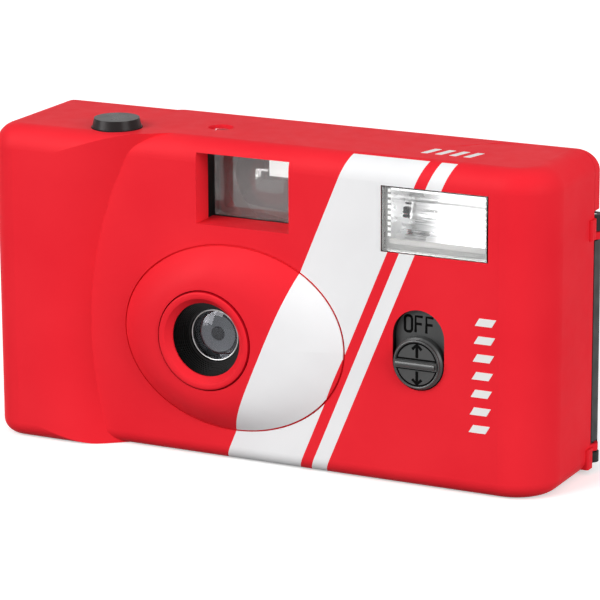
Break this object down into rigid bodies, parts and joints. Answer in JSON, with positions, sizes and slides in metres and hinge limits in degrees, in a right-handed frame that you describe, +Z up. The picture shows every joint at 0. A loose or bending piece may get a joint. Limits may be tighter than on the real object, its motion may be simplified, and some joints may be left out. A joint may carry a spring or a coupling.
{
  "type": "compact film camera",
  "caption": "Compact film camera for 35 mm cartridges with a raised lens dome, finder, flash, thumb-wheel advance, sliding flash switch and a hinged rear door.",
  "frame": {"origin": "centre of the base's flat face", "axes": "+X along the camera's length, to the right seen from the front; the lens looks along -Y; +Z up from the base to the shutter button"},
  "size_m": [0.1205, 0.0356, 0.0649],
  "materials": {
    "case_red": "satin soft-touch",
    "case_black": "fine grained",
    "inner_black": "matt",
    "gloss_black": "polished",
    "switch_grey": "matt",
    "white_plastic": "polished",
    "lamp_orange": "polished",
    "clear_plastic": "clear",
    "lens_glass": "coated",
    "reflector_metal": "mirror bright",
    "spring_steel": "bright",
    "plated_steel": "plated",
    "thin_steel": "blackened",
    "brass": "bright",
    "board_green": "solder mask",
    "capacitor_sleeve": "shrink sleeve",
    "coil_copper": "enamelled",
    "seal_foam": "open foam"
  },
  "bodies": {
    "camera_body": {"front_shell": "case_red", "rear_top_cover": "case_red", "ready_lamp": "lamp_orange", "lens_ring": "case_red", "lens_barrel": "gloss_black", "front_lens": "lens_glass", "chassis": "inner_black", "spool_housing": "inner_black", "cartridge_housing": "inner_black", "battery_holder": "inner_black", "aperture_disc": "thin_steel", "shutter_plate": "thin_steel", "shutter_pins": "plated_steel", "rear_lens": "lens_glass", "finder_frame": "inner_black", "finder_front_lens": "clear_plastic", "eyepiece_lens": "clear_plastic", "flash_lens": "clear_plastic", "flash_reflector": "reflector_metal", "flash_tube": "clear_plastic", "flash_board": "board_green", "flash_capacitor": "capacitor_sleeve", "flash_transformer": "coil_copper", "trigger_coil": "coil_copper", "battery_contact": "plated_steel", "switch_plate": "switch_grey", "counter_window": "clear_plastic", "wheel_pawl": "spring_steel", "hinge_pins": "plated_steel", "strap_lug": "plated_steel", "case_screws": "plated_steel", "button_spring": "spring_steel", "release_spring": "spring_steel", "latch_spring": "spring_steel"},
    "shutter_button": {"shutter_button": "gloss_black"},
    "release_lever": {"release_lever": "spring_steel"},
    "shutter_blade": {"shutter_blade": "thin_steel"},
    "flash_switch": {"flash_switch_knob": "gloss_black"},
    "battery_door": {"battery_door": "case_black", "battery_spring": "spring_steel"},
    "film_advance": {"advance_wheel": "case_black", "takeup_spool": "gloss_black"},
    "film_sprocket": {"film_sprocket": "gloss_black"},
    "frame_counter": {"counter_dial": "white_plastic"},
    "rewind_knob": {"rewind_disc": "case_black", "rewind_fork": "gloss_black", "crank_pin": "plated_steel"},
    "rewind_crank": {"rewind_crank": "case_black"},
    "rewind_release": {"rewind_release_button": "case_black"},
    "rear_door": {"rear_door": "case_black", "film_window": "clear_plastic", "pressure_plate": "thin_steel", "pressure_spring": "spring_steel", "light_seals": "seal_foam"},
    "door_latch": {"door_latch": "case_black"}
  },
  "joints": [
    {"name": "shutter_press", "type": "slide", "parent": "camera_body", "child": "shutter_button", "axis": [0, 0, -1], "range_m": [0, 0.0015], "stiffness_N_per_m": 500, "springref_m": -0.002, "deforming": ["button_spring"]},
    {"name": "release_lever_swing", "type": "hinge", "parent": "camera_body", "child": "release_lever", "pos_m": [-0.027, -0.0087, 0.041], "axis": [0, -1, 0], "range_deg": [0, 13.5]},
    {"name": "shutter_blade_swing", "type": "hinge", "parent": "camera_body", "child": "shutter_blade", "pos_m": [-0.016, -0.0082, 0.0313], "axis": [0, 1, 0], "range_deg": [0, 40]},
    {"name": "flash_switch_slide", "type": "slide", "parent": "camera_body", "child": "flash_switch", "axis": [0, 0, 1], "range_m": [0, 0.005]},
    {"name": "battery_door_swing", "type": "hinge", "parent": "camera_body", "child": "battery_door", "pos_m": [0.0184, 0.00325, 0.0009], "axis": [1, 0, 0], "range_deg": [0, 95]},
    {"name": "film_advance_turn", "type": "hinge", "parent": "camera_body", "child": "film_advance", "pos_m": [-0.0442, 0.0016, 0.025], "axis": [0, 0, 1], "continuous": true},
    {"name": "film_sprocket_turn", "type": "hinge", "parent": "camera_body", "child": "film_sprocket", "pos_m": [-0.0195, 0.00635, 0.039], "axis": [0, 0, 1], "continuous": true},
    {"name": "frame_counter_turn", "type": "hinge", "parent": "camera_body", "child": "frame_counter", "pos_m": [-0.0206, 0, 0.0612], "axis": [0, 0, 1], "continuous": true},
    {"name": "rewind_turn", "type": "hinge", "parent": "camera_body", "child": "rewind_knob", "pos_m": [0.042, 0.0026, 0.001], "axis": [0, 0, 1], "continuous": true},
    {"name": "rewind_crank_fold", "type": "hinge", "parent": "rewind_knob", "child": "rewind_crank", "pos_m": [0.0369, 0.0026, 0.00065], "axis": [0, 1, 0], "range_deg": [0, 135]},
    {"name": "rewind_release_press", "type": "slide", "parent": "camera_body", "child": "rewind_release", "axis": [0, 0, 1], "range_m": [0, 0.0012], "stiffness_N_per_m": 300, "springref_m": -0.002, "deforming": ["release_spring"]},
    {"name": "rear_door_swing", "type": "hinge", "parent": "camera_body", "child": "rear_door", "pos_m": [0.0572, 0.0124, 0.025], "axis": [0, 0, -1], "range_deg": [0, 110]},
    {"name": "door_latch_slide", "type": "slide", "parent": "camera_body", "child": "door_latch", "axis": [0, 0, -1], "range_m": [0, 0.0035], "stiffness_N_per_m": 200, "springref_m": -0.004, "deforming": ["latch_spring"]}
  ],
  "couplings": [
    {"joint": "release_lever_swing", "follows": "shutter_press", "rad_per_m": 156},
    {"joint": "shutter_blade_swing", "follows": "shutter_press", "rad_per_m": 465},
    {"joint": "frame_counter_turn", "follows": "film_sprocket_turn", "ratio": -0.025}
  ]
}
